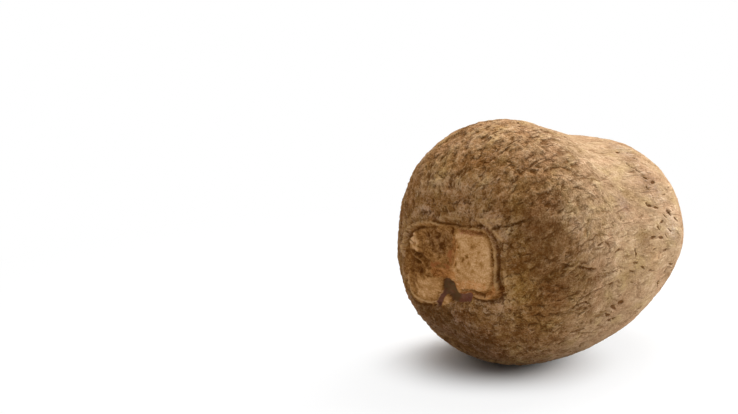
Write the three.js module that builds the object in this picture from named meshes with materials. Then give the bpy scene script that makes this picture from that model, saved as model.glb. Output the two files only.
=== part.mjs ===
// A stubby whole yam lying on its side, in millimetres, with +Z up.
// +X runs along the tuber towards the flattened end that carries the scar of its stem.
// The origin is on the ground, below the middle of the tuber's bounding box.
import * as THREE from "three";
import { mergeVertices } from "three/addons/utils/BufferGeometryUtils.js";

// The tuber is one solid: swellings that grew into each other. Each swelling is an ellipsoid
// about its centre, pitched about Y and then turned about Z, in degrees. Centres are measured
// from the tuber's core, a point inside all of them.
const SWELLINGS = [
  { name: "head", centre: [43, -4, 13], radii: [60, 70, 69], pitch: 7, turn: -41 },
  { name: "waist", centre: [5, -5, 4], radii: [38, 54, 47], pitch: 0, turn: -7 },
  { name: "belly", centre: [-10, 0, -2], radii: [55, 54, 47], pitch: 0, turn: 0 },
  { name: "tail", centre: [-49, 6, 7], radii: [50, 49, 49], pitch: 0, turn: 0 },
];
const SWELLING_BLEND = 14;

// The scar end is flattened by a plane this far from the core, facing almost along +X.
const SCAR_DISTANCE = 104;
const SCAR_TURN = -8;
const SCAR_BLEND = 6;

// Its own weight presses a small flat patch into the underside, this far below the core.
const REST_DEPTH = 61.4;

// Rays from the core to the skin go through the corners of a finely divided icosahedron.
const RAY_DETAIL = 17;
const RAY_LIMIT = 160;
const RAY_HALVINGS = 30;

const SKIN_COLOUR = "#7b5a3a";
const SKIN_ROUGHNESS = 0.85;

const radians = THREE.MathUtils.degToRad;

const swellings = SWELLINGS.map(({ centre, radii, pitch, turn }) => ({
  centre: new THREE.Vector3(...centre),
  radii: new THREE.Vector3(...radii),
  toOwnAxes: new THREE.Quaternion()
    .setFromEuler(new THREE.Euler(0, radians(pitch), radians(turn), "ZYX"))
    .invert(),
}));

const scarFacing = new THREE.Vector3(Math.cos(radians(SCAR_TURN)), Math.sin(radians(SCAR_TURN)), 0);

// Roughly how far a point lies outside a swelling's ellipsoid, negative inside it.
function outsideSwelling(point, { centre, radii, toOwnAxes }) {
  const local = point.clone().sub(centre).applyQuaternion(toOwnAxes).divide(radii);
  const reach = local.length();
  const slope = local.divide(radii).length();
  return (reach * (reach - 1)) / slope;
}

// The largest of some distances, with the corner where two of them meet rounded off.
function roundedMax(distances, blend) {
  const total = distances.reduce((sum, distance) => sum + Math.exp(distance / blend), 0);
  return blend * Math.log(total);
}

// Negative inside the tuber, positive outside it.
function outsideTuber(point) {
  const insideEach = swellings.map((swelling) => -outsideSwelling(point, swelling));
  const outsideBody = -roundedMax(insideEach, SWELLING_BLEND);
  const pastScar = point.dot(scarFacing) - SCAR_DISTANCE;
  return roundedMax([outsideBody, pastScar], SCAR_BLEND);
}

// The point where a ray from the core leaves the tuber.
function skinPoint(direction) {
  let near = 0;
  let far = RAY_LIMIT;
  for (let i = 0; i < RAY_HALVINGS; i++) {
    const middle = (near + far) / 2;
    if (outsideTuber(direction.clone().multiplyScalar(middle)) < 0) near = middle;
    else far = middle;
  }
  const point = direction.clone().multiplyScalar(near);
  point.z = Math.max(point.z, -REST_DEPTH);
  return point;
}

function tuberGeometry() {
  const rays = new THREE.IcosahedronGeometry(1, RAY_DETAIL);
  rays.deleteAttribute("normal");
  rays.deleteAttribute("uv");
  const geometry = mergeVertices(rays, 1e-5);
  const position = geometry.getAttribute("position");
  const direction = new THREE.Vector3();
  for (let i = 0; i < position.count; i++) {
    direction.fromBufferAttribute(position, i).normalize();
    position.setXYZ(i, ...skinPoint(direction).toArray());
  }
  geometry.computeBoundingBox();
  const { min, max } = geometry.boundingBox;
  geometry.translate(-(min.x + max.x) / 2, -(min.y + max.y) / 2, -min.z);
  geometry.computeVertexNormals();
  return geometry;
}

const skin = new THREE.MeshStandardMaterial({
  color: SKIN_COLOUR,
  roughness: SKIN_ROUGHNESS,
  metalness: 0,
});

const yam = new THREE.Mesh(tuberGeometry(), skin);
yam.name = "yam";

const tuber = new THREE.Group();
tuber.add(yam);

export default tuber;
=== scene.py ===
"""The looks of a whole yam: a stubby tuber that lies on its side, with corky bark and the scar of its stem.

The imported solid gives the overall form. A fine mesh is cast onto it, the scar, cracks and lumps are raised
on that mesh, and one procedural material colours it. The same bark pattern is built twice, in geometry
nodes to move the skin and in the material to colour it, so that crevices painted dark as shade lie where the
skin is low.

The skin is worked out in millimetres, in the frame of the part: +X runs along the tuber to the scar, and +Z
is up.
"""

import math
import random
from types import SimpleNamespace

import bmesh
import bpy
import numpy as np
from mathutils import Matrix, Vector, noise
from mathutils.bvhtree import BVHTree


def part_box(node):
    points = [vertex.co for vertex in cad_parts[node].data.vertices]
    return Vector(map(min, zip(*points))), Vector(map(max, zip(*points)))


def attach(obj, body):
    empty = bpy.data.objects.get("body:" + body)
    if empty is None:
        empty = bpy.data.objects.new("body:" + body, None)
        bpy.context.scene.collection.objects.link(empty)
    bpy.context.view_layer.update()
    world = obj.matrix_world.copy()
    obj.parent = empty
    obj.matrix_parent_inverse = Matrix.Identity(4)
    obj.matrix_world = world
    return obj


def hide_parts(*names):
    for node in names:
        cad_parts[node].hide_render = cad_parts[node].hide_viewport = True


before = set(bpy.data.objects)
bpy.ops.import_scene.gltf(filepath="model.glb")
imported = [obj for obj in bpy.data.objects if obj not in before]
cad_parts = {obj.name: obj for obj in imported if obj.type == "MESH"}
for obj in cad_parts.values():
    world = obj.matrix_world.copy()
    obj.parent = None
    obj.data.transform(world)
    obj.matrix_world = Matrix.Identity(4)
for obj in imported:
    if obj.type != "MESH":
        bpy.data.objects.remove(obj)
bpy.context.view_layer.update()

MM = 0.001

# The fine mesh: an icosahedron with each of its 20 faces cut into FREQUENCY x FREQUENCY triangles.
FREQUENCY = 98
# Its rays are drawn towards both ends, as the tuber is long, and then towards the scar, where the mesh is
# finest: there they lose up to this share of their angle from +X, which fades out over the angle below it.
STRETCH_ALONG = 1.3
CROWDING = 0.5
CROWDING_ANGLE = 0.55
SMOOTHING_ROUNDS = 55
# Smoothing draws the skin in by about this much.
SHRINK_MADE_UP = 0.3
# Broad uneven swellings and smaller dents all over: size and how far they move the skin.
SWELLING_SIZE, SWELLING_HEIGHT = 55, 4.0
DENT_SIZE, DENT_HEIGHT = 22, 2.2

# The grain of the bark runs along the tuber. Going away from the scar it climbs until x is GRAIN_BEND, then
# falls, and the bend is about GRAIN_TURN wide each way.
GRAIN_CLIMB, GRAIN_FALL = 0.27, 0.14
GRAIN_BEND, GRAIN_TURN = 55, 15
# Where x is under LONG_GRAIN_END the patterns of the bark are twice as long. They change over about
# LONG_GRAIN_BLEND each way.
LONG_GRAIN_END, LONG_GRAIN_BLEND = 15, 10
# Distance along the skin from the scar's middle is about ALONG_RADIUS times the angle from +X, and distance
# round the tuber about ROUND_RADIUS times the turn round it.
ALONG_RADIUS, ROUND_RADIUS = 75, 60

# The bark is scaly at the scar's end and sandy at the other, and changes round about this x: scaly bark
# fades in and sandy bark fades out between these distances past it.
SCALY_EDGE_X = 60
SCALY_FADE, SANDY_FADE = (-52, 20), (42, -34)
# Scaly bark reaches further along above UPPER_Z and beyond SIDE_Y, by a share of the distance past them.
UPPER_Z, UPPER_SHARE = 80, 0.65
SIDE_Y, SIDE_SHARE, SIDE_LIMIT = -20, 0.9, 45
# It reaches less far over the crown, where the bark is sandier too.
CROWN_Z = (85, 115)
CROWN_LESS_SCALY, CROWN_MORE_SANDY = 8, 14
# Crevices are more but finer within about FURROW_REACH of the scaly bark's edge, fading in over these z.
FURROW_REACH, FURROW_Z = 28, (55, 95)

# The sizes of the bark's patterns, across the grain and along it.
LUMP_SIZE = (6.0, 9.0)
CRUMB_SIZE = (3.2, 4.2)
PEBBLE_SIZE = (2.1, 2.9)
GRIT_SIZE = (0.8, 0.95)
MOTTLE_SIZE = (15, 18)
LONG_LINE_SIZE = (3.8, 17)
SHORT_LINE_SIZE = (3.0, 7)
BLUSH_SIZE = (10, 13)
# The flecks of the scar, in all three directions.
FLECK_SIZE = (4.5, 2.4, 2.4)

# The scar lies on the +X end, and its places are (y, z). What it adds to the skin fades in between these x.
SCAR_FADE_X = (58, 70)
SCAR_EDGE = [
    (-38, 66), (-36, 78), (-30, 88), (-17, 95), (4, 97), (19, 97), (27, 91), (31, 81), (31, 68), (35, 63),
    (30, 57), (16, 56), (2, 52), (-10, 46), (-26, 45), (-34, 51),
]
# The lines below are drawn this much thinner and taller than their numbers say.
LINE_WIDTH_SHARE, LINE_HEIGHT_SHARE = 0.9, 1.3
# Grooves and ridges of the scar: half width, height, how pale (over 0) or dark (under 0), and the line each
# one follows. The pale is partly a painted highlight on the ridges, and the dark partly painted shade in the
# grooves.
SCAR_LINES = [
    (0.9, -1.1, -0.95, [(-14, 95.5), (-3, 95.9), (3, 96.2)]),
    (1.5, -0.9, -0.75, [(3, 96), (7, 96.2), (12, 96.4)]),
    (1.3, -0.5, -0.4, [(12, 96.4), (16, 97.4), (19.5, 98.2)]),
    (2.2, -0.2, -0.42, [(-5, 98), (4, 98.4), (13, 98.6)]),
    (0.7, -0.7, -0.65, [
        (18.5, 94), (22.2, 93.8), (25, 91.2), (27, 87.4), (28.6, 80), (28.8, 71), (28.2, 66),
    ]),
    (0.6, -0.4, -0.35, [(28.4, 66), (27.6, 63), (25, 60.6), (19, 59.2)]),
    (1.1, -0.8, -0.75, [(9, 59.8), (13, 60.6), (17, 60.8), (20.5, 60), (24, 59.2)]),
    (0.9, 1.0, 0.75, [(6, 94.6), (13, 95.5), (19, 95.8), (23.6, 94.9), (26.3, 92.2), (28.2, 89)]),
    (0.9, 1.1, 0.9, [(28.2, 89), (29.6, 85), (30.2, 80), (30.4, 76), (30.2, 68.8)]),
    (0.9, -1.0, -0.95, [(19.5, 98.2), (22.6, 97.4), (25, 95.8), (27.2, 93.5), (29.2, 90.8), (30.8, 87.8)]),
    (1.3, -0.9, -0.75, [(30.8, 87.8), (31.8, 83.6), (32.2, 77.8), (32, 71), (32.8, 66)]),
    (0.9, -1.2, -0.9, [(36, 61.5), (33, 58.3), (29, 56.3), (24, 55.6), (19, 56.2), (15, 57.6)]),
    (1.8, 0.9, 0.2, [(31, 97), (34, 91), (35.6, 84), (36, 77), (35.6, 71)]),
    (1.2, 0.7, 0.9, [(34.4, 89), (35.2, 86.4), (35.4, 84)]),
    (1.3, 0.7, 0.9, [(35.4, 74.6), (36, 71), (36, 67.4)]),
    (0.9, 0.7, 0.9, [(22.4, 99.8), (24.6, 98.6), (26.4, 97.6)]),
    (1.1, 0.7, 0.9, [(27.8, 96), (30, 94.4), (32.6, 91.8)]),
    (1.0, 0.6, 0.7, [(33.4, 97.6), (35, 95.6), (35.8, 93.6)]),
    (0.9, -0.9, -0.8, [(27, 97.2), (30, 97.8), (34, 98.8), (38, 100.2), (42, 102.2)]),
    (1.4, 0.8, 0.8, [(17, 101.4), (22, 101), (27, 101.6), (31, 102.4)]),
    (1.1, 1.4, 0.9, [
        (-39, 72), (-38, 78), (-36.2, 84), (-31.5, 88.8), (-25.5, 91.8), (-17.5, 94.2), (-9, 94.6),
    ]),
    (1.0, -1.3, -1.0, [(-35, 73), (-35, 79), (-33.6, 83), (-29, 87.4), (-20.9, 91), (-12.7, 92.4)]),
    (1.1, 0.9, 0.6, [(-27.5, 94.5), (-13.4, 98.2), (-0.8, 99.6), (9, 99.8)]),
    (1.0, -0.5, -0.45, [(-26, 98), (-8, 102), (6, 103), (14, 103)]),
    (1.4, 0.6, 0.3, [(-22, 102), (-4, 105.6), (12, 106), (24, 103)]),
    (1.0, -0.4, -0.3, [(2, 108.5), (16, 109), (28, 105), (36, 99)]),
    (1.1, 0.6, 0.5, [(-38.5, 76), (-39.3, 70), (-39, 63), (-37.4, 57), (-35, 52)]),
    (0.9, -0.6, -0.6, [(-36.3, 74), (-36.7, 68), (-36, 61), (-34.6, 57)]),
    (0.9, 0.9, 1.0, [(-34, 60), (-33.2, 55), (-31.3, 50.8), (-27, 47.8), (-19, 47.4), (-11.3, 48.6)]),
    (1.1, -1.1, -0.9, [(-37, 55), (-35.3, 49.4), (-31.7, 45), (-26, 43.8), (-20, 44.6), (-10, 46.4)]),
    (1.2, 0.5, 0.3, [(-36, 43), (-28, 39.5), (-18, 40.5), (-8, 43)]),
    (0.8, -0.6, -0.5, [(2.6, 90), (3.4, 85), (3, 79), (1.6, 73)]),
    (0.8, 0.7, 0.8, [(-26.2, 83.4), (-25.6, 80.6), (-26.2, 78)]),
    (1.5, -0.5, -0.5, [(-23, 85), (-22.2, 81), (-22.6, 76.6)]),
    (0.7, -0.9, -0.7, [(-32, 83), (-29.5, 83.8), (-27.3, 82.4)]),
    (0.7, -0.9, -0.7, [(-32.6, 80.8), (-30.4, 79.8), (-28.2, 80.2)]),
    (0.9, -0.8, -0.9, [(-21, 78), (-22.4, 75.6), (-27, 74.2), (-32.4, 74.8)]),
    (1.1, -1.2, -0.7, [(-31.5, 74.2), (-26, 73.4), (-19, 71.6)]),
    (0.7, 0.8, 0.5, [(-31.4, 72.2), (-27, 71.4), (-23.4, 70.4)]),
    (1.2, -1.0, -0.85, [(-32.2, 70.2), (-28.6, 69.4), (-25, 68.8)]),
    (1.5, -0.4, -0.5, [(-30.4, 59.6), (-29.6, 54.4), (-27.6, 50.8)]),
    (1.6, 1.3, 0.6, [(30.4, 68), (30.8, 63.6), (28.6, 60), (23, 58.2), (18, 58.4)]),
]
# Parts of the scar by their outlines, or by the line that their middle follows.
BARE_PATCH = [
    (2.5, 90.4), (7, 92.3), (14.6, 92.3), (20.8, 92.6), (24.5, 90), (26.9, 84.7), (28, 77.4), (27.7, 70.4),
    (26.6, 65.1), (23.7, 61.8), (16.7, 60.4), (9, 58.8), (4.5, 59), (0.3, 65), (1.5, 74), (3.2, 82),
]
PLUM_BAND = [(5, 94.6), (13, 95.4), (19, 95.4), (24.5, 92.6), (21.6, 91.6), (7, 91.4)]
LOWER_LIGHT = [
    (-27, 57), (-20, 61), (-12, 62.4), (-6.5, 60.6), (-8.5, 55), (-13, 50.5), (-21.6, 49.4), (-28, 51.5),
]
ROSY_PATCHES = [
    [(-15, 68.5), (-4, 70), (3, 70), (5.4, 66.6), (1.6, 64.8), (-5, 64.5), (-13, 64)],
    [
        (28.4, 67), (30.4, 66), (30.8, 61.5), (28.6, 58.6), (24, 57), (18, 57.5), (19, 60.2), (25, 61),
        (27.8, 64),
    ],
]
PINK_PATCHES = [
    [(0.6, 88), (4.6, 90), (6.4, 84), (5.4, 76), (3, 70), (-0.6, 70), (0.2, 79)],
    [(3, 65), (14, 67), (25, 67), (24, 61.2), (14, 60), (4, 59.4)],
]
KNOB = [
    (-32.8, 84), (-29, 86.2), (-26.5, 84.6), (-25, 80.4), (-25.6, 76.8), (-28, 75.2), (-31.6, 76),
    (-33.8, 80),
]
DEAD_PATCH = [(-20, 88.3), (-10, 92), (1, 91.3), (2.4, 86), (-2, 79.5), (-6, 76.5), (-13, 76.4), (-19, 80)]
# The middle of the groove round the bare patch, which is tinged with plum.
OUTER_GROOVE = [
    (19.5, 98), (25, 95.4), (29, 90.4), (31.4, 84.6), (32.2, 77.8), (32, 71), (33, 64), (33, 58),
]
# The hollow of brown bark between the rim's two ends.
HOOK = [(31.5, 69), (33.5, 68), (36.8, 65), (36.6, 61), (33, 58.6), (31.4, 60.5), (31.6, 65)]
PIT = [(-34, 74), (-25, 75), (-18, 74), (-16.8, 70.8), (-20, 65), (-31, 62.5), (-35, 66)]
TEAR = [
    (-6.8, 55.7), (-6, 59), (-5.6, 62), (-4.2, 64), (-1.4, 64.4), (1.8, 64.2), (3.6, 62.9), (4.5, 60.4),
    (5.3, 58), (6.8, 56.8), (10.6, 57.9), (14.9, 59), (15.2, 56.8), (14, 54), (10.9, 52.8), (4.7, 51.8),
    (1, 51.8), (-0.2, 53.4), (-1.6, 54.8), (-2.8, 54.9), (-4.3, 53.9), (-6, 51.8), (-7.2, 49.4),
    (-8.2, 47.2), (-10, 45.6), (-13, 45.8), (-11.7, 49.1), (-9.5, 52.4),
]
# The pale tongue of wood that the tear goes round.
TONGUE = [
    (-2, 54.8), (-4.3, 53.2), (-5.6, 50.6), (-6.2, 46.6), (-5, 44.6), (-2.6, 45), (-0.9, 48.4), (0.2, 52.2),
]
RED_STREAK = [(-14, 70.4), (-8, 71.4), (-1.4, 71.8), (0.8, 76), (0.4, 80.4)]
# Small dark specks: place, size and depth of tone, and how much deeper they are all drawn.
SPECKS = [
    (15.8, 86, 1.7, 0.16), (9.4, 77.8, 1.1, 0.16), (12.4, 79.6, 1.1, 0.16), (14, 76, 1.0, 0.16),
    (5, 74.5, 1.0, 0.2), (20, 83, 1.0, 0.12), (17, 72, 0.9, 0.1), (22, 77, 0.9, 0.1), (7, 70.5, 1.0, 0.12),
    (24, 66, 0.9, 0.12), (-10.5, 87, 1.8, 0.1), (1.2, 91.8, 1.6, 0.2), (-6, 82.7, 2.6, 0.14),
    (-16.8, 87, 1.2, 0.2), (-14, 81, 1.2, 0.2), (6, 84.5, 1.4, 0.18), (4.6, 87.5, 1.0, 0.16),
    (-24, 64, 2.0, 0.12), (-17, 63, 1.6, 0.12),
]
SPECK_DEPTH = 2.6

# Gentle lumps and hollows that the ellipsoids of the solid don't have: centre, reach and height.
LUMPS = [
    ((84, -34, 48), 20, 1.6),
    ((70, -40, 112), 24, 1.2),
    ((60, -22, 136), 17, -1.1),
    ((76, -5, 19), 17, -2.2),
    ((-54, 65, 66), 18, 1.3),
]

# Single cracks in the bark: degrees round the tuber from +Y, mm along the skin from the scar's middle,
# length, degrees off the grain, and depth.
CRACKS = [
    (54, 154, 6, 5, 0.7), (46, 164, 4, -50, 0.8), (42, 147, 5, -50, 0.8),
    (38, 151, 4, -60, 0.6), (33, 153, 3.5, -55, 1.3), (29, 159, 5, 0, 1.4),
    (27, 148, 3, -70, 0.9), (11, 159, 3.5, -55, 1.9), (18, 139, 4, -20, 0.9),
    (16, 146, 5, -15, 0.7), (11, 152, 4, -40, 0.7), (6, 165, 6, -35, 0.6),
    (3, 130, 7, -5, 0.8), (1, 141, 7, -15, 0.8), (3, 154, 6, -30, 0.6),
    (0, 104, 5, -80, 0.8), (-6, 146, 8, 0, 0.6), (-4, 104, 6, -15, 0.6),
    (-8, 113, 5, -25, 0.7), (-12, 124, 6, -15, 0.6), (-22, 142, 5.5, -45, 1.7),
    (-22, 94, 7, -10, 1.0), (-24, 88, 9, -25, 1.2), (-27, 85, 9, -25, 1.1),
    (-31, 92, 9, 0, 1.3), (-17, 65, 6, -25, 0.6), (-14, 102, 7, -20, 0.5),
    (-10, 80, 6, 0, 0.7), (10, 70, 6, 5, 0.6), (9, 75, 6, -35, 0.6),
    (4, 52, 10, -20, 0.6), (1, 62, 16, -15, 0.8), (40, 30, 8, -40, 0.35),
    (37, 35, 7, -30, 0.4),
]
# How far from its line a crack has any effect.
CRACK_REACH = 4
# More cracks of the same kind are strewn over the bark at random, between these limits of the same numbers.
STREWN_CRACKS = 110
STREWN_SEED = 7
STREWN_LIMITS = [(-180, 180), (75, 215), (2, 7), (-45, 25), (0.25, 0.75)]

# Paler and darker parts of the bark: middle, reach, and how far the tone moves. Some are the bark's own
# tone, and some are painted light and shade: darker low down near the ground, paler on the lit top.
TONE_LIGHT_AND_SHADE_PATCHES = [
    ((57, 0, 142), 26, 0.10), ((84, -20, 119), 8, 0.20), ((91, -1, 117), 7, 0.15),
    ((85, 6, 126), 6, -0.16), ((89, 15, 121), 6, 0.16), ((82, -4, 128), 9, -0.16),
    ((95, 8, 108), 8, 0.08), ((93, 24, 114), 6, -0.05), ((85, 37, 114), 7, 0.04),
    ((94, 40, 98), 6, 0.13), ((79, 41, 118), 8, -0.15), ((84, 50, 100), 10, -0.28),
    ((80, 57, 90), 8, -0.18), ((74, 46, 117), 6, 0.12), ((68, 52, 113), 6, -0.14),
    ((72, 56, 104), 8, 0.15), ((97, 40, 83), 6, -0.10), ((97, 36, 56), 11, 0.24),
    ((88, 52, 78), 8, -0.18), ((85, 52, 55), 9, -0.16), ((84, 48, 42), 18, -0.07),
    ((60, 61, 100), 14, 0.12), ((60, 67, 83), 9, 0.10), ((30, 68, 86), 18, 0.07),
    ((14, 69, 84), 8, 0.08), ((74, 62, 64), 8, -0.20), ((62, 64, 50), 7, 0.14),
    ((29, 62, 40), 14, -0.05), ((4, 44, 118), 14, 0.13), ((-1, 57, 105), 8, -0.08),
    ((-23, 47, 111), 14, -0.08), ((0, 70, 74), 8, -0.17), ((-6, 70, 58), 12, 0.09),
    ((86, 15, 27), 20, -0.19), ((92, -16, 42), 16, -0.21), ((98, 12, 104), 5, 0.15),
    ((97, 24, 103), 5, 0.14), ((90, 33, 105), 7, -0.10), ((68, 40, 124), 5, -0.16),
    ((74, 29, 129), 5, 0.12), ((97, 37, 92), 4, -0.06), ((82, 0, 125), 22, 0.05),
    ((97, 30, 95), 7, 0.13), ((98, 26, 51), 7, 0.10), ((87, 15, 124), 5, 0.08),
    ((88, -11, 119), 6, 0.07), ((81, 53, 99), 6, 0.07), ((-16, 42, 116), 10, 0.10),
    ((-39, 31, 119), 11, -0.08), ((-36, 67, 75), 10, 0.09), ((-24, 67, 81), 6, 0.05),
    ((38, 67, 90), 9, 0.10), ((61, 64, 94), 7, 0.07), ((10, 68, 84), 8, 0.08),
    ((-18, 68, 79), 10, 0.11), ((-46, 62, 84), 16, 0.12), ((77, -8, 16), 14, -0.22),
    ((99, 33, 86), 4, 0.10), ((68, 53, 110), 5, -0.12), ((93, -22, 99), 7, 0.18),
    ((60, 67, 69), 6, -0.16), ((14, 61, 100), 6, -0.10), ((72, 37, 22), 8, 0.10),
    ((31, 59, 30), 8, 0.06), ((24, 55, 112), 11, -0.10), ((40, 54, 116), 9, -0.10),
    ((49, 35, 134), 6, -0.12), ((-3, 65, 92), 6, -0.10), ((20, 68, 48), 7, -0.10),
]

# Greyer bark, or warmer where the last number is negative: middle, reach and strength. The greyer patches
# low down near the scar's end are a painted cool shade, and the warm one at the very bottom is painted shade
# where the yam meets the ground.
GREY_AND_SHADE_PATCHES = [
    ((86, -2, 27), 25, 1.3), ((90, -26, 40), 18, 0.5), ((94, 41, 98), 9, 0.6),
    ((85, 53, 88), 9, 0.3), ((96, 40, 66), 15, -0.9), ((78, 50, 40), 18, -0.5),
    ((88, 36, 110), 13, -0.5), ((84, -14, 124), 10, -0.4), ((70, -2, 130), 26, -0.3),
    ((22, 68, 66), 22, -0.5), ((-12, 70, 64), 14, -0.4), ((13, 62, 98), 9, 0.5),
    ((-34, 54, 102), 20, 0.35), ((95, -20, 96), 10, 0.5), ((77, -8, 16), 14, -1.3),
    ((-39, 31, 119), 12, 0.4), ((-40, 67, 72), 12, 0.4),
]

# Colours by tone, from deep in the bark to the top of a pale flake, whose paleness is a painted highlight.
BROWN_BARK = [
    (0.2, (0.130, 0.047, 0.007)),
    (0.4, (0.210, 0.094, 0.027)),
    (0.52, (0.280, 0.142, 0.051)),
    (0.65, (0.352, 0.198, 0.090)),
    (0.82, (0.462, 0.285, 0.152)),
]
SANDY_BARK = [
    (0.2, (0.165, 0.086, 0.035)),
    (0.4, (0.270, 0.167, 0.088)),
    (0.52, (0.325, 0.211, 0.114)),
    (0.65, (0.385, 0.257, 0.146)),
    (0.82, (0.520, 0.366, 0.224)),
]
SCAR_WOOD = [
    (0.1, (0.080, 0.024, 0.002)),
    (0.3, (0.172, 0.068, 0.014)),
    (0.5, (0.305, 0.143, 0.043)),
    (0.7, (0.450, 0.234, 0.086)),
    (0.9, (0.610, 0.365, 0.175)),
]
# Single colours that cover what is under them.
RED_BROWN = (0.25, 0.072, 0.018)
TORN_BROWN = (0.120, 0.066, 0.027)
TORN_PLUM = (0.185, 0.068, 0.050)
# A painted highlight on crack lips; on the scar's ridges, partly a painted highlight and partly their paler
# colour.
PALE_AND_HIGHLIGHT_LIP = (0.52, 0.31, 0.135)
# Painted shade in the bark's crevices, the cracks, and the scar's grooves and pit; also the dark flecks in
# the tear.
CREVICE_SHADE_AND_FLECK = (0.105, 0.036, 0.004)
# Tints that multiply it.
PLUM, ROSY = (0.92, 0.76, 0.92), (1.0, 0.85, 0.74)
# Greyer tint, partly for dead tissue and partly a painted cool shade; warmer tint, partly painted shade
# where the yam meets the ground.
GREY_AND_SHADE_TINT, WARM_AND_SHADE_TINT = (0.92, 1.02, 1.42), (1.0, 0.97, 0.76)
PINKISH, YELLOWISH = (1.03, 0.98, 0.98), (0.99, 1.01, 0.90)


# ---------------- the fine mesh

def geodesic_sphere(frequency):
    """Unit directions and triangles of an icosahedron with its faces cut finely."""
    base = bmesh.new()
    bmesh.ops.create_icosphere(base, subdivisions=1, radius=1)
    corners = np.array([[v.co[:] for v in f.verts] for f in base.faces])
    base.free()
    i, j = np.meshgrid(range(frequency + 1), range(frequency + 1), indexing="ij")
    inside = i + j <= frequency
    weights = np.stack([frequency - i - j, i, j], -1)[inside] / frequency
    number = np.full(inside.shape, -1)
    number[inside] = np.arange(len(weights))
    up = i[:-1, :-1] + j[:-1, :-1] < frequency
    down = i[:-1, :-1] + j[:-1, :-1] < frequency - 1
    here, right, above, across = number[:-1, :-1], number[1:, :-1], number[:-1, 1:], number[1:, 1:]
    triangles = np.concatenate([
        np.stack([here[up], right[up], above[up]], -1),
        np.stack([right[down], across[down], above[down]], -1),
    ])
    points = np.einsum("pk,fkc->fpc", weights, corners).reshape(-1, 3)
    points /= np.linalg.norm(points, axis=1)[:, None]
    offsets = np.arange(len(corners)) * len(weights)
    faces = (triangles[None] + offsets[:, None, None]).reshape(-1, 3)
    _, first, merged = np.unique(points.round(6), axis=0, return_index=True, return_inverse=True)
    return points[first], merged.reshape(-1)[faces]


def crowd_towards_scar(directions):
    """Evens out the two ends of the long tuber, then draws the directions in towards +X."""
    stretched = directions * (STRETCH_ALONG, 1, 1)
    stretched /= np.linalg.norm(stretched, axis=1)[:, None]
    angle = np.arccos(stretched[:, 0].clip(-1, 1))
    drawn = angle * (1 - CROWDING * np.exp(-(angle / CROWDING_ANGLE) ** 2))
    ring = np.hypot(stretched[:, 1], stretched[:, 2]).clip(1e-9)
    return np.stack([
        np.cos(drawn),
        np.sin(drawn) * stretched[:, 1] / ring,
        np.sin(drawn) * stretched[:, 2] / ring,
    ], -1)


def cast_onto(node, centre, directions):
    """Where rays from the centre meet the skin of a CAD node, in millimetres."""
    corners = [v.co / MM for v in node.data.vertices]
    tree = BVHTree.FromPolygons(corners, [p.vertices[:] for p in node.data.polygons])
    origin = Vector(centre)
    return np.array([tree.ray_cast(origin, Vector(d))[0][:] for d in directions])


def smoothed(points, faces, rounds):
    """Points moved to the middle of their neighbours over and over, to rub out the facets of the solid."""
    edges = np.unique(np.sort(faces[:, [0, 1, 1, 2, 2, 0]].reshape(-1, 2), axis=1), axis=0)
    start = np.concatenate([edges[:, 0], edges[:, 1]])
    end = np.concatenate([edges[:, 1], edges[:, 0]])
    count = np.bincount(start, minlength=len(points))
    for _ in range(rounds):
        sums = [np.bincount(start, points[end, k], len(points)) for k in range(3)]
        points = np.stack(sums, -1) / count[:, None]
    return points


def normals_of(points, faces):
    """Unit normals at the points."""
    a, b, c = (points[faces[:, k]] for k in range(3))
    face_normals = np.cross(b - a, c - a)
    sums = [
        sum(np.bincount(faces[:, k], face_normals[:, axis], len(points)) for k in range(3))
        for axis in range(3)
    ]
    normals = np.stack(sums, -1)
    return normals / np.linalg.norm(normals, axis=1)[:, None]


# ---------------- shapes on the skin

def smooth_step(value, low, high):
    """0 below low, 1 above high and a smooth rise between; high may be the smaller one."""
    share = ((value - low) / (high - low)).clip(0, 1)
    return share * share * (3 - 2 * share)


def ridge(distance, width):
    """1 on a line, falling smoothly to 0 within about twice the width."""
    return np.exp(-(distance / width) ** 2)


def ripples(points, size, shift):
    """Smooth noise between about -1 and 1, with bumps of about the given size."""
    scaled = points / size + shift
    return np.array([noise.noise(p) for p in scaled.tolist()])


def line_distance(places, line):
    """How far each place is from a line through some points, in as many dimensions as they have."""
    best = np.full(len(places), np.inf)
    for start, end in zip(line[:-1], line[1:]):
        start, run = np.array(start, float), np.array(end, float) - np.array(start, float)
        share = ((places - start) @ run / (run @ run)).clip(0, 1)
        best = np.minimum(best, np.linalg.norm(places - start - share[:, None] * run, axis=1))
    return best


def rounded(points, closed=False, steps=4):
    """More points along a smooth curve through the given ones (Catmull-Rom)."""
    before, after = (points[-1], points[:2]) if closed else (points[0], points[-1:])
    knots = np.array([before, *points, *after], float)
    share = np.arange(steps)[:, None] / steps
    curve = [
        p1 + share * (p2 - p0) / 2 + share ** 2 * (p0 - 2.5 * p1 + 2 * p2 - p3 / 2)
        + share ** 3 * (1.5 * (p1 - p2) + (p3 - p0) / 2)
        for p0, p1, p2, p3 in zip(knots[:-3], knots[1:-2], knots[2:-1], knots[3:])
    ]
    return np.concatenate([*curve, knots[-2:-1] if closed else knots[-1:]])


def outline_distance(places, outline):
    """How far each flat place is from a smooth closed outline, and negative inside it."""
    loop = rounded(outline, closed=True)
    across, up = places.T
    inside = np.zeros(len(places), bool)
    for (y0, z0), (y1, z1) in zip(loop[:-1], loop[1:]):
        if z0 != z1:
            inside ^= ((z0 > up) != (z1 > up)) & (across < y0 + (y1 - y0) * (up - z0) / (z1 - z0))
    return np.where(inside, -1, 1) * line_distance(places, loop)


def area(places, outline, soft):
    """1 inside an outline and 0 outside, with a soft edge."""
    return smooth_step(outline_distance(places, outline), soft, -soft)


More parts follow.
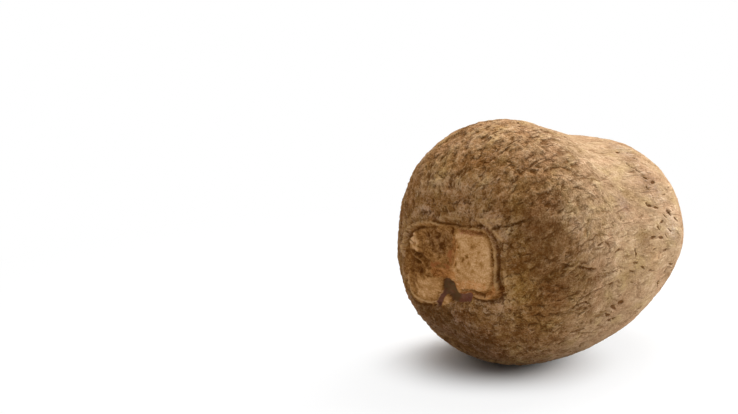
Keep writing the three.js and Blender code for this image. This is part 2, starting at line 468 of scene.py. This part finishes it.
class Skin:
    """The points of the skin, with what is raised on them and what colours they take."""

    def __init__(self, points, faces, centre):
        self.points, self.faces = points, faces
        self.normals = normals_of(points, faces)
        self.centre = np.array(centre)
        x, y, z = (points - self.centre).T
        self.turn = np.arctan2(z, y)
        self.along = ALONG_RADIUS * np.arctan2(np.hypot(y, z), x)
        for name in ("relief", "scar", "scar_tone", "bare", "crease", "lip", "tear", "red", "plum", "rosy",
                     "crack_side", "crack_width"):
            setattr(self, name, np.zeros(len(points)))
        self.dull = self.patches(GREY_AND_SHADE_PATCHES)

    def patches(self, patches):
        """The sum of some soft round patches, each with its middle, reach and strength."""
        total = np.zeros(len(self.points))
        for middle, reach, strength in patches:
            total += strength * ridge(np.linalg.norm(self.points - np.array(middle), axis=1), reach)
        return total

    def grain(self):
        """The points, with a third number that runs along the grain and slows down in its long end."""
        x, y, z = (self.points - self.centre).T
        from_bend = x - GRAIN_BEND
        slope = (GRAIN_CLIMB - GRAIN_FALL) / 2 * from_bend
        slope += (GRAIN_CLIMB + GRAIN_FALL) / 2 * np.hypot(from_bend, GRAIN_TURN)
        half = LONG_GRAIN_BLEND / 2
        slowed = 0.5 * x + half * np.logaddexp(0, (x - LONG_GRAIN_END) / LONG_GRAIN_BLEND)
        return np.stack([y, z + slope, slowed], -1)

    def zones(self):
        """How scaly, how sandy and how furrowed the bark is."""
        x, y, z = self.points.T
        crown = smooth_step(z, *CROWN_Z)
        upper = UPPER_SHARE * (z - UPPER_Z).clip(0)
        side = SIDE_SHARE * (SIDE_Y - y).clip(0, SIDE_LIMIT)
        wander = ripples(self.points, 40, 5) * 14 + ripples(self.points, 16, 9) * 6
        past_edge = x - SCALY_EDGE_X - CROWN_LESS_SCALY * crown + upper + side + wander
        scaly = smooth_step(past_edge, *SCALY_FADE)
        sandy = smooth_step(past_edge - CROWN_MORE_SANDY * crown, *SANDY_FADE)
        furrowed = ridge(past_edge + 4, FURROW_REACH) * smooth_step(z, *FURROW_Z)
        return np.stack([scaly, sandy, furrowed], -1)


# ---------------- the scar and the cracks

def flat_ripples(points, size, shift):
    """Two different ripples, to move flat places by."""
    return np.stack([ripples(points, size, shift), ripples(points, size, shift + 1)], -1)


def scar_parts(points):
    """How far each point belongs to each part of the scar, and its wavering and its ragged place there."""
    place = points[:, 1:] + (flat_ripples(points, 5, 3) * 0.5 + flat_ripples(points, 1.8, 13) * 0.35)
    rough = place + flat_ripples(points, 2.2, 5) * 1.2
    across, up = place.T
    wood = area(place, BARE_PATCH, 0.9 + 1.8 * smooth_step(across, 9, 2))
    tongue = area(place, TONGUE, 0.9)
    rosy = np.maximum.reduce([area(rough, outline, 1.8) for outline in ROSY_PATCHES])
    knob = area(rough, KNOB, 0.9) * (1 + 0.6 * ripples(points, 2.4, 45))
    groove = ridge(line_distance(rough, OUTER_GROOVE), 1.6)
    # The tear's upper rim, red-brown partly as a painted highlight.
    rim_highlight = ridge(outline_distance(place, TEAR) - 0.8, 0.8) * smooth_step(across, 1, 5)
    return SimpleNamespace(
        place=place,
        rough=rough,
        inside=area(rough, SCAR_EDGE, 1.5),
        wood=wood,
        tongue=tongue,
        tear=area(place, TEAR, 0.8) * (1 - tongue),
        rosy=rosy,
        pink=np.maximum.reduce([area(rough, outline, 2.2) for outline in PINK_PATCHES]),
        knob=knob,
        # The knob's share of the pale is partly a painted highlight on its lump.
        pale=np.maximum.reduce([1.8 * area(rough, LOWER_LIGHT, 1.8), 1.8 * tongue, 0.35 * rosy, 2.9 * knob]),
        dead=area(rough, DEAD_PATCH, 4.0) * (1 - wood),
        pit=area(rough, PIT, 1.8),
        hook=area(rough, HOOK, 1.4),
        plum=np.maximum(0.6 * area(rough, PLUM_BAND, 1.4), 0.6 * groove),
        red=0.9 * ridge(line_distance(rough, RED_STREAK), 2.7),
        rim_highlight=rim_highlight * smooth_step(up, 54.5, 57.5),
    )


def scar_tone(points, scar):
    """How pale the scar is at each point, and in the tear how far it is plum instead."""
    across, up = scar.place.T
    wood_tone = 0.30 - 0.001 * (up - 76) + 0.005 * (across - 14)
    tone = 0.43 + scar.wood * wood_tone + 0.14 * scar.pale * (1 - scar.wood)
    # The pit and the hook are darker, partly as painted shade in their hollows.
    tone -= 0.04 * scar.dead + 0.13 * scar.pit + 0.2 * scar.hook
    swing = 0.10 - 0.04 * np.maximum(scar.wood, scar.dead) + 0.1 * scar.knob
    tone += 0.06 * ripples(points, 7, 31) + swing * ripples(points, 3, 32)
    for y, z, size, depth in SPECKS:
        from_speck = np.hypot(scar.rough[:, 0] - y, scar.rough[:, 1] - z)
        tone -= SPECK_DEPTH * depth * ridge(from_speck, size)
    torn_plum = np.maximum(smooth_step(across, 3, 8), smooth_step(across, -4.5, -8))
    torn_plum += 0.5 * ripples(points, 2.6, 51)
    return np.where(scar.tear > 0.3, torn_plum, tone)


def scar_relief(points, scar):
    """How high the parts of the scar stand, without its grooves and ridges."""
    relief = 0.5 * scar.wood - 1.1 * scar.dead - 1.3 * scar.pit - 0.8 * scar.hook - 0.4 * scar.plum
    relief -= 3.0 * scar.tear
    relief += 0.7 * scar.tongue + 0.4 * scar.knob - 0.7 * scar.inside
    rough_wood = 0.5 * ripples(points, 3, 32) + 0.4 * ripples(points, 1.7, 33)
    relief += rough_wood * (1 + scar.knob) * scar.inside * (1 - scar.wood)
    return relief


def add_scar(skin):
    """The scar on the +X end: grooves and ridges round its rim, bare wood, dead tissue and a tear."""
    near = np.flatnonzero(skin.points[:, 0] > SCAR_FADE_X[0])
    points = skin.points[near]
    fade = smooth_step(points[:, 0], *SCAR_FADE_X)
    scar = scar_parts(points)
    relief = scar_relief(points, scar)
    # Painted shade in the pit, and below in the grooves.
    crease = 0.3 * scar.pit
    lip = np.zeros(len(near))
    vary = 0.9 + 0.4 * ripples(points, 6, 7) + 0.25 * ripples(points, 2.5, 8)
    # Each line raises or sinks the skin; its pale is partly a painted highlight, its dark partly painted
    # shade.
    for half_width, height, shade, line in SCAR_LINES:
        mark = ridge(line_distance(scar.place, rounded(line)), LINE_WIDTH_SHARE * half_width) * vary
        relief += LINE_HEIGHT_SHARE * height * mark
        crease = np.maximum(crease, -shade * mark)
        lip = np.maximum(lip, shade * mark)
    relief += 0.8 * ripples(points, 2.2, 41) * scar.tear

    skin.relief[near] += relief * fade
    skin.dull[near] += (0.5 * scar.dead - scar.inside * skin.dull[near]) * fade
    skin.scar_tone[near] = scar_tone(points, scar)
    whole = 1 - scar.tear
    shares = {
        "scar": scar.inside,
        "bare": np.maximum(scar.wood, scar.tear),
        "crease": crease * whole,
        "lip": lip * whole,
        "tear": scar.tear,
        "plum": scar.plum,
        "rosy": np.maximum(scar.rosy, 0.6 * scar.pink) * whole,
        # The red streak, and the tear's upper rim, red-brown partly as a painted highlight.
        "red": np.maximum(scar.red, 1.2 * scar.rim_highlight) * whole,
    }
    for name, share in shares.items():
        getattr(skin, name)[near] = share * fade


def add_crack(skin, turn, along, length, slant, depth):
    """A short split in the bark, sunk in the skin. The material paints its crooked dark line as shade in the
    split.
    """
    turn, slant = math.radians(turn), math.radians(slant)
    turned = np.abs((skin.turn - turn + math.pi) % (2 * math.pi) - math.pi)
    nearest = (turned * ROUND_RADIUS + np.abs(skin.along - along)).argmin()
    middle, normal = skin.points[nearest], skin.normals[nearest]
    around = np.cross((1, 0, 0), middle - skin.centre)
    around /= np.linalg.norm(around)
    forward = np.cross(around, normal)
    forward /= np.linalg.norm(forward)
    if forward[0] > 0:
        forward = -forward
    run = forward * math.cos(slant) + around * math.sin(slant)

    near = np.flatnonzero(np.linalg.norm(skin.points - middle, axis=1) < length / 2 + CRACK_REACH)
    from_middle = skin.points[near] - middle
    side = from_middle @ np.cross(normal, run)
    taper = smooth_step(np.abs(from_middle @ run), length / 2 + 1.5, length / 4)
    lips, split = ridge(np.abs(side) - 1.8, 0.8), ridge(side, 0.9)
    skin.relief[near] += depth * taper * (0.25 * lips - split)
    width = depth * taper * smooth_step(np.abs(side), CRACK_REACH, CRACK_REACH / 2)
    wider = width > skin.crack_width[near]
    skin.crack_side[near[wider]] = side[wider]
    skin.crack_width[near[wider]] = width[wider]


def strewn_cracks():
    """Small cracks at random places all round the tuber."""
    draw = random.Random(STREWN_SEED)
    return [[draw.uniform(*limits) for limits in STREWN_LIMITS] for _ in range(STREWN_CRACKS)]


def yam_skin(node):
    """The whole skin, in millimetres, ready for a mesh."""
    low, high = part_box("yam")
    centre = (low + high) / (2 * MM)
    directions, faces = geodesic_sphere(FREQUENCY)
    points = cast_onto(node, centre, crowd_towards_scar(directions))
    points = smoothed(points, faces, SMOOTHING_ROUNDS)
    if np.einsum("ij,ij->i", normals_of(points, faces), points - np.array(centre)).mean() < 0:
        faces = faces[:, ::-1]
    points += SHRINK_MADE_UP * normals_of(points, faces)
    skin = Skin(points, faces, centre)
    skin.relief += skin.patches(LUMPS)
    add_scar(skin)
    for crack in CRACKS + strewn_cracks():
        add_crack(skin, *crack)
    return skin


# ---------------- node graphs

class Graph:
    """Short calls that build the same texture maths in a material or in geometry nodes."""

    def __init__(self, tree):
        self.tree = tree
        self.shading = tree.bl_idname == "ShaderNodeTree"

    def node(self, kind, **settings):
        """A new node, with some of its settings changed."""
        made = self.tree.nodes.new(kind)
        for name, value in settings.items():
            setattr(made, name, value)
        return made

    def feed(self, socket, value):
        """Sets a socket to a value, or links it to another node's output."""
        if isinstance(value, bpy.types.NodeSocket):
            self.tree.links.new(value, socket)
        else:
            socket.default_value = value

    def attribute(self, name, vector=False):
        """A number or a vector that the mesh holds under a name."""
        if self.shading:
            made = self.node("ShaderNodeAttribute", attribute_name=name)
            return made.outputs["Vector" if vector else "Fac"]
        made = self.node("GeometryNodeInputNamedAttribute", data_type="FLOAT_VECTOR" if vector else "FLOAT")
        made.inputs["Name"].default_value = name
        return made.outputs["Attribute"]

    def parts(self, vector):
        """The three numbers of a vector."""
        made = self.node("ShaderNodeSeparateXYZ")
        self.feed(made.inputs[0], vector)
        return list(made.outputs)

    def stored_parts(self, name):
        """The three numbers of a vector that the mesh holds."""
        return self.parts(self.attribute(name, vector=True))

    def math(self, operation, *values):
        made = self.node("ShaderNodeMath", operation=operation)
        for socket, value in zip(made.inputs, values):
            self.feed(socket, value)
        return made.outputs[0]

    def add(self, *values):
        total = values[0]
        for value in values[1:]:
            total = self.math("ADD", total, value)
        return total

    def times(self, *values):
        total = values[0]
        for value in values[1:]:
            total = self.math("MULTIPLY", total, value)
        return total

    def invert(self, value):
        return self.math("SUBTRACT", 1.0, value)

    def centred(self, value):
        """A noise's number, which lies round 0.5, moved to lie round 0."""
        return self.math("SUBTRACT", value, 0.5)

    def away(self, value, middle=0.0):
        """How far a number is from a middle."""
        return self.math("ABSOLUTE", self.math("SUBTRACT", value, middle))

    def vector_math(self, operation, *values, output="Vector"):
        made = self.node("ShaderNodeVectorMath", operation=operation)
        for socket, value in zip(made.inputs, values):
            self.feed(socket, value)
        return made.outputs[output]

    def scaled(self, vector, across, along=None):
        """The vector over a pattern's size across the grain and along it."""
        along = across if along is None else along
        return self.vector_math("DIVIDE", vector, (across, across, along))

    def shifted(self, place, colour, reach):
        """A place moved by a noise's colour, by up to about half the reach each way."""
        move = self.vector_math("SUBTRACT", colour, (0.5, 0.5, 0.5))
        return self.vector_math("MULTIPLY_ADD", move, (reach, reach, reach), place)

    def noise(self, place, detail=2.0, roughness=0.5, output="Fac"):
        """Smooth noise with bumps about one unit wide."""
        made = self.node("ShaderNodeTexNoise")
        self.feed(made.inputs["Vector"], place)
        for name, number in (("Scale", 1), ("Detail", detail), ("Roughness", roughness)):
            made.inputs[name].default_value = number
        return made.outputs[output]

    def cells(self, place, output="Distance"):
        """Cells about one unit wide: the distance from each one's middle, or its random colour."""
        made = self.node("ShaderNodeTexVoronoi")
        self.feed(made.inputs["Vector"], place)
        made.inputs["Scale"].default_value = 1
        return made.outputs[output]

    def step(self, value, low, high, start=0.0, end=1.0):
        """start below low, end above high, and a smooth change between."""
        made = self.node("ShaderNodeMapRange", interpolation_type="SMOOTHSTEP")
        for socket, number in zip(made.inputs, (value, low, high, start, end)):
            self.feed(socket, number)
        return made.outputs["Result"]

    def ramp(self, value, stops):
        """A colour that changes through some (value, colour) stops."""
        made = self.node("ShaderNodeValToRGB")
        self.feed(made.inputs[0], value)
        elements = made.color_ramp.elements
        while len(elements) < len(stops):
            elements.new(1.0)
        for element, (position, colour) in zip(elements, stops):
            element.position, element.color = position, (*colour, 1)
        return made.outputs[0]

    def tint(self, factor, first, second, blend="MIX"):
        """One colour turning into another."""
        made = self.node("ShaderNodeMix", data_type="RGBA", blend_type=blend)
        self.feed(made.inputs[0], factor)
        for socket, colour in ((made.inputs[6], first), (made.inputs[7], second)):
            self.feed(socket, colour if isinstance(colour, bpy.types.NodeSocket) else (*colour, 1))
        return made.outputs[2]


# ---------------- the bark pattern

def split_lines(g, place, size, width, lift):
    """Crooked lines along the grain, painted dark as shade, and the flake that stands up beside each one,
    painted pale as a highlight.
    """
    side = g.centred(g.noise(g.scaled(place, *size), detail=2.5, roughness=0.45))
    line = g.step(g.away(side), 0.0, width, 1, 0)
    flake = g.step(g.away(side, lift), 0.07, 0.02)
    return line, flake


def bark_lines(g, place, bent, torn, scaly, furrowed):
    """The long and short crevices of the bark, and its flakes. Both are wider where they move the skin."""
    width = g.times(g.add(0.6, g.times(0.4, scaly)), 1.0 if g.shading else 2.0)
    broken = g.add(g.noise(g.scaled(place, 5, 11)), g.times(furrowed, 0.03))
    broken = g.times(g.step(broken, 0.50, 0.60), g.add(0.5, g.times(0.5, scaly)))
    long_line, long_flake = split_lines(g, bent, LONG_LINE_SIZE, g.times(width, 0.085), 0.11)
    split = g.step(g.noise(g.scaled(place, 4.0, 5.5)), 0.53, 0.63)
    short_line, short_flake = split_lines(g, torn, SHORT_LINE_SIZE, g.times(width, 0.11), 0.13)
    short_line = g.times(short_line, split, g.add(0.4, g.times(0.6, scaly)))
    crevice = g.math("MAXIMUM", g.times(long_line, broken), g.times(short_line, 0.8))
    flake = g.math("MAXIMUM", g.times(long_flake, broken), g.times(short_flake, split))
    return crevice, flake


def bark_pattern(g):
    """The bark's height in millimetres, its tone from 0 (dark) to 1 (pale), how dark its crevices are
    painted as shade, and the wavering place that its noises are read at."""
    grain = g.attribute("grain", vector=True)
    scaly, _, furrowed = g.stored_parts("zones")
    scar, _, bare = g.stored_parts("scar")

    wander = g.noise(g.scaled(grain, 20), detail=1, output="Color")
    place = g.shifted(grain, wander, 4)
    raggedness = g.noise(g.scaled(place, 2.4), detail=1, output="Color")
    torn, bent = g.shifted(place, raggedness, 1.6), g.shifted(place, raggedness, 0.9)

    lumps = g.centred(g.noise(g.scaled(torn, *LUMP_SIZE), detail=1))
    crumbs = g.centred(g.noise(g.scaled(torn, *CRUMB_SIZE), detail=3 if g.shading else 1, roughness=0.7))
    grit = g.centred(g.noise(g.scaled(place, *GRIT_SIZE), detail=1))
    mottle = g.centred(g.noise(g.scaled(place, *MOTTLE_SIZE), detail=2))
    pebbles = g.scaled(torn, *PEBBLE_SIZE)
    pebble = g.step(g.cells(pebbles), 0.2, 0.8, 1, 0)
    pebble_tone = g.centred(g.parts(g.cells(pebbles, "Color"))[0])

    crevice, flake = bark_lines(g, place, bent, torn, scaly, furrowed)
    on_bark = g.invert(g.math("MAXIMUM", scar, bare))
    crevice, flake = g.times(crevice, on_bark), g.times(flake, on_bark)

    swing = g.times(g.add(0.42, g.times(0.58, scaly)), g.invert(g.times(0.6, scar)))
    swing = g.times(swing, g.invert(g.times(0.6, bare)))
    crumbly = g.add(1.0, g.times(scaly, 0.25))
    tone = g.add(
        0.488,
        g.times(crumbs, 0.5, crumbly),
        g.times(grit, 0.5, crumbly),
        g.times(mottle, 0.3),
        g.times(lumps, 0.45, crumbly),
        g.times(pebble_tone, 0.15, swing),
        # The tone patches: the bark's own tone, with painted shade low down and painted light on the top.
        g.attribute("tone_light_and_shade"),
        # Flakes beside the crevices are paler: a painted highlight on their raised edges.
        g.times(flake, g.add(0.16, g.times(scaly, -0.08))),
    )
    height = g.add(
        g.times(flake, 0.3),
        g.times(crevice, -0.6),
        g.times(crumbs, 1.2, swing),
        g.times(lumps, 1.4, swing),
        g.times(grit, g.add(0.1, g.times(scaly, 0.5)), swing),
        g.times(pebble, 0.35, swing),
    )
    height = g.times(height, g.add(0.7, g.times(scaly, 0.3), g.times(furrowed, -0.35)))
    # The crevices are darkened as painted shade.
    darkness = g.times(crevice, g.add(1.0, g.times(furrowed, -0.25), g.times(scaly, -0.1)))
    return height, tone, darkness, place


def crack_lines(g, side, width, place):
    """The dark line of each single crack, painted as shade in the split, and the pale lip beside it, a
    painted highlight.
    """
    bend = g.centred(g.noise(g.scaled(place, 2.6), detail=3, roughness=0.6))
    side = g.add(side, g.times(bend, 2.4))
    half = g.times(width, g.step(g.noise(g.scaled(place, 1.7), detail=1), 0.3, 0.7, 0.25, 0.95))
    line = g.step(g.math("SUBTRACT", g.away(side), half), 0.35, -0.1)
    lip = g.times(g.step(g.away(side, 1.1), 0.7, 0.0), g.step(half, 0.1, 0.5))
    return g.times(line, g.step(width, 0.02, 0.7)), lip


def raising_nodes():
    """Geometry nodes that move the skin by its relief, the bark pattern and some swellings and dents."""
    tree = bpy.data.node_groups.new("raise_bark", "GeometryNodeTree")
    tree.interface.new_socket("Geometry", in_out="INPUT", socket_type="NodeSocketGeometry")
    tree.interface.new_socket("Geometry", in_out="OUTPUT", socket_type="NodeSocketGeometry")
    g = Graph(tree)
    height = bark_pattern(g)[0]
    position = g.scaled(g.node("GeometryNodeInputPosition").outputs[0], MM)
    swelling = g.centred(g.noise(g.scaled(position, SWELLING_SIZE), detail=1))
    dent = g.centred(g.noise(g.scaled(position, DENT_SIZE), detail=2))
    swelling, dent = g.times(swelling, SWELLING_HEIGHT), g.times(dent, DENT_HEIGHT)
    total = g.add(height, g.attribute("relief"), swelling, dent)
    offset = g.node("ShaderNodeVectorMath", operation="SCALE")
    g.feed(offset.inputs[0], g.node("GeometryNodeInputNormal").outputs[0])
    g.feed(offset.inputs["Scale"], g.times(total, MM))
    mover = g.node("GeometryNodeSetPosition")
    g.feed(mover.inputs["Offset"], offset.outputs[0])
    g.feed(mover.inputs["Geometry"], g.node("NodeGroupInput").outputs[0])
    g.feed(g.node("NodeGroupOutput").inputs[0], mover.outputs[0])
    return tree


def raise_skin(piece):
    """Moves the skin by its raising nodes for good, and keeps it above the ground."""
    piece.modifiers.new("raise_bark", "NODES").node_group = raising_nodes()
    bpy.context.view_layer.update()
    moved = bpy.data.meshes.new_from_object(piece.evaluated_get(bpy.context.evaluated_depsgraph_get()))
    piece.modifiers.clear()
    piece.data = moved
    corners = np.empty(len(moved.vertices) * 3)
    moved.vertices.foreach_get("co", corners)
    corners[2::3] = corners[2::3].clip(0)
    moved.vertices.foreach_set("co", corners)
    moved.update()


# ---------------- the colours of the yam

def bark_colour(g, tone, sandy, place):
    """Brown or sandy bark, with a blush of pink and yellow over it."""
    colour = g.tint(sandy, g.ramp(tone, BROWN_BARK), g.ramp(tone, SANDY_BARK))
    blush = g.noise(g.scaled(place, *BLUSH_SIZE), detail=1)
    colour = g.tint(g.step(blush, 0.5, 0.7), colour, PINKISH, blend="MULTIPLY")
    return g.tint(g.step(blush, 0.5, 0.3), colour, YELLOWISH, blend="MULTIPLY")


def skin_colour(g, tone, crevice, crack, crack_highlight, place):
    """The bark, with the scar, its stains and tints of painted shade, the painted highlights on lips, the
    painted shade in dark lines, and the tear over it in turn.
    """
    _, sandy, _ = g.stored_parts("zones")
    scar, scar_tone, bare = g.stored_parts("scar")
    crease, lip, tear = g.stored_parts("edges")
    red, plum, rosy = g.stored_parts("stains_and_painted_light")
    dull = g.stored_parts("crack")[2]
    grit = g.centred(g.noise(g.scaled(place, 1.3), detail=3, roughness=0.65))
    broad = g.vector_math("DIVIDE", place, FLECK_SIZE)
    flecks = g.centred(g.noise(broad, detail=4, roughness=0.65))
    crisp = g.centred(g.noise(g.scaled(place, 0.9), detail=2, roughness=0.7))

    def patchy(mask, spread, low=0.3, high=0.7):
        """A mask with its soft edge broken up by grit."""
        return g.step(g.add(mask, g.times(grit, spread)), low, high)

    flecked_scar_tone = g.add(scar_tone, g.times(flecks, g.add(1.1, g.times(bare, -0.4))), g.times(crisp, 0.7))
    colour = g.tint(patchy(scar, 0.8), bark_colour(g, tone, sandy, place), g.ramp(flecked_scar_tone, SCAR_WOOD))
    stains_and_painted_light = [
        (patchy(rosy, 1.5), ROSY),
        # Greyer and warmer: partly own colour, partly painted shade low down and where the yam meets the
        # ground.
        (patchy(dull, 1.0, 0.1, 0.9), GREY_AND_SHADE_TINT),
        (patchy(dull, 1.0, -0.1, -0.9), WARM_AND_SHADE_TINT),
        (patchy(plum, 1.4, 0.2, 0.9), PLUM),
    ]
    for mask, tint_colour in stains_and_painted_light:
        colour = g.tint(mask, colour, tint_colour, blend="MULTIPLY")

    torn = g.tint(g.add(scar_tone, g.times(flecks, 2.0)), TORN_BROWN, TORN_PLUM)
    torn = g.tint(g.times(g.step(flecks, -0.04, 0.12), 0.45), torn, CREVICE_SHADE_AND_FLECK)
    paints = [
        # The red streak, and the tear's upper rim, red-brown partly as a painted highlight.
        (0.75, g.step(g.add(red, g.times(flecks, 2.4)), 0.6, 0.95), RED_BROWN),
        # The scar's ridges, pale partly as a painted highlight, and a painted highlight on each crack's lip.
        (0.75, patchy(lip, 0.8, 0.2, 0.9), PALE_AND_HIGHLIGHT_LIP),
        (0.4, crack_highlight, PALE_AND_HIGHLIGHT_LIP),
        # Painted shade in the crevices and cracks, and in the scar's grooves and pit.
        (0.88, g.math("MAXIMUM", crevice, crack), CREVICE_SHADE_AND_FLECK),
        (0.85, patchy(crease, 1.0, 0.2, 0.75), CREVICE_SHADE_AND_FLECK),
        (0.92, patchy(tear, 0.5), torn),
    ]
    for strength, mask, paint in paints:
        colour = g.tint(g.times(mask, strength), colour, paint)
    return colour


def new_material(name):
    """A material, the graph of its nodes and its shader."""
    material = bpy.data.materials.new(name)
    material.use_nodes = True
    return material, Graph(material.node_tree), material.node_tree.nodes["Principled BSDF"]


def bark_material():
    """The one material of the yam: colour, a dull gloss and fine bumps."""
    material, g, shader = new_material("yam_bark")
    height, tone, crevice, place = bark_pattern(g)
    crack_side, crack_width, _ = g.stored_parts("crack")
    crack, crack_highlight = crack_lines(g, crack_side, crack_width, place)
    g.feed(shader.inputs["Base Color"], skin_colour(g, tone, crevice, crack, crack_highlight, place))
    g.feed(shader.inputs["Roughness"], g.step(tone, 0.3, 0.7, 0.9, 0.75))
    shader.inputs["Specular IOR Level"].default_value = 0.05
    bump = g.node("ShaderNodeBump")
    bump.inputs["Distance"].default_value = MM
    bump.inputs["Strength"].default_value = 1.0
    g.feed(bump.inputs["Height"], g.add(height, g.times(crack, -0.4)))
    g.feed(shader.inputs["Normal"], bump.outputs[0])
    return material


# ---------------- the yam

def add_mesh(name, points, faces):
    """A smooth-shaded object made of the given points and faces, in metres."""
    mesh = bpy.data.meshes.new(name)
    mesh.from_pydata(points.tolist(), [], faces.tolist())
    mesh.polygons.foreach_set("use_smooth", [True] * len(mesh.polygons))
    piece = bpy.data.objects.new(name, mesh)
    bpy.context.scene.collection.objects.link(piece)
    return piece


def store(mesh, name, values):
    """Keeps one number or one vector for each vertex under a name that nodes can read."""
    vector = values.ndim == 2
    layer = mesh.attributes.new(name, "FLOAT_VECTOR" if vector else "FLOAT", "POINT")
    layer.data.foreach_set("vector" if vector else "value", values.reshape(-1))


def make_yam(node):
    """The yam's skin as one piece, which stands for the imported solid."""
    skin = yam_skin(node)
    piece = add_mesh("yam_skin", skin.points * MM, skin.faces)
    values = {
        "grain": skin.grain(),
        "zones": skin.zones(),
        "scar": np.stack([skin.scar, skin.scar_tone, skin.bare], -1).clip(0, 1),
        "edges": np.stack([skin.crease, skin.lip, skin.tear], -1).clip(0, 1),
        "stains_and_painted_light": np.stack([skin.red, skin.plum, skin.rosy], -1).clip(0, 1),
        # Its third number is how much greyer or warmer the bark is, partly painted shade.
        "crack": np.stack([skin.crack_side, skin.crack_width, skin.dull], -1),
        "relief": skin.relief,
        "tone_light_and_shade": skin.patches(TONE_LIGHT_AND_SHADE_PATCHES),
    }
    for name, numbers in values.items():
        store(piece.data, name, numbers)
    raise_skin(piece)
    piece.data.materials.append(bark_material())
    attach(piece, "root")
    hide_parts("yam")


# ---------------- camera, floor and light

VIEW_TURN, VIEW_RISE = math.radians(125), math.radians(13)
TOWARDS = Vector((math.sin(VIEW_TURN), -math.cos(VIEW_TURN), 0))
RIGHT = Vector((math.cos(VIEW_TURN), math.sin(VIEW_TURN), 0))
UP = Vector((0, 0, 1))
# In metres.
CAMERA_PLACE = (1.0286, 0.5960, 0.3606)
LENS, SENSOR = 100, 36

# Degrees round from the camera towards its right, degrees up, metres away, metres wide, watts.
LAMPS = [
    (108, 9, 0.9, 0.6, 8.0),
    (140, 50, 0.9, 0.6, 11.0),
    (180, 60, 0.9, 0.6, 3.2),
    (0, 85, 0.9, 0.7, 2.6),
    (-20, 35, 0.9, 0.6, 0.9),
    (-70, 50, 0.9, 0.6, 1.6),
]
AMBIENT = 0.18

# Metres from the origin to each side of the floor.
FLOOR_REACH = 4.0
PALE_FLOOR = (0.86, 0.86, 0.86, 1)
# The floor's shadow is deepest here. Most of it fades out between the first two distances from there, and
# the rest up to the third, in metres.
SHADOW_MIDDLE = (0.034, -0.014, 0)
SHADOW_FADE = (0.022, 0.082, 0.4)


def add_facing(name, data, place, backwards):
    """A camera or a lamp at a place, with its back towards a direction."""
    made = bpy.data.objects.new(name, data)
    bpy.context.scene.collection.objects.link(made)
    made.location = place
    made.rotation_mode = "QUATERNION"
    made.rotation_quaternion = backwards.to_track_quat("Z", "Y")
    return made


def add_camera():
    """The camera, which looks down by VIEW_RISE."""
    lens = bpy.data.cameras.new("camera")
    lens.lens, lens.sensor_width = LENS, SENSOR
    backwards = TOWARDS * math.cos(VIEW_RISE) + UP * math.sin(VIEW_RISE)
    bpy.context.scene.camera = add_facing("camera", lens, CAMERA_PLACE, backwards)


def add_lamp(target, turn, rise, distance, width, power):
    """A square lamp that shines on the target."""
    turn, rise = math.radians(turn), math.radians(rise)
    level = TOWARDS * math.cos(turn) + RIGHT * math.sin(turn)
    direction = level * math.cos(rise) + UP * math.sin(rise)
    light = bpy.data.lights.new("lamp", "AREA")
    light.shape, light.size, light.energy = "SQUARE", width, power
    add_facing("lamp", light, target + direction * distance, direction)


def floor_material():
    """A pale floor that keeps shadows near the yam and turns into the white backdrop further out."""
    material, g, shader = new_material("floor")
    shader.inputs["Base Color"].default_value = PALE_FLOOR
    shader.inputs["Roughness"].default_value = 0.9
    shader.inputs["Specular IOR Level"].default_value = 0.0
    white = g.node("ShaderNodeEmission")
    position = g.node("ShaderNodeNewGeometry").outputs["Position"]
    from_shadow = g.vector_math("SUBTRACT", position, SHADOW_MIDDLE)
    distance = g.vector_math("LENGTH", from_shadow, output="Value")
    start, middle, end = SHADOW_FADE
    white_share = g.add(g.step(distance, start, middle, 0.0, 0.85), g.step(distance, middle, end, 0.0, 0.15))
    seen = g.times(white_share, g.node("ShaderNodeLightPath").outputs["Is Camera Ray"])
    mixed = g.node("ShaderNodeMixShader")
    g.feed(mixed.inputs[0], seen)
    g.feed(mixed.inputs[1], shader.outputs[0])
    g.feed(mixed.inputs[2], white.outputs[0])
    g.feed(material.node_tree.nodes["Material Output"].inputs[0], mixed.outputs[0])
    return material


def add_floor():
    """A flat square floor at z = 0."""
    corners = np.array([(-1, -1, 0), (1, -1, 0), (1, 1, 0), (-1, 1, 0)]) * FLOOR_REACH
    floor = add_mesh("floor", corners, np.array([(0, 1, 2, 3)]))
    floor.data.materials.append(floor_material())


def add_world():
    """Pure white to the camera and in gloss, and a soft even light on everything."""
    world = bpy.data.worlds.new("studio")
    world.use_nodes = True
    bpy.context.scene.world = world
    g = Graph(world.node_tree)
    light = world.node_tree.nodes["Background"]
    light.inputs["Color"].default_value = (1, 1, 1, 1)
    rays = g.node("ShaderNodeLightPath")
    seen = g.add(*(rays.outputs[f"Is {kind} Ray"] for kind in ("Camera", "Glossy", "Transmission")))
    g.feed(light.inputs["Strength"], g.step(seen, 0, 1, AMBIENT, 1))


bpy.context.scene.view_settings.view_transform = "Standard"
make_yam(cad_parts["yam"])
add_camera()
low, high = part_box("yam")
for lamp in LAMPS:
    add_lamp((low + high) / 2, *lamp)
add_floor()
add_world()
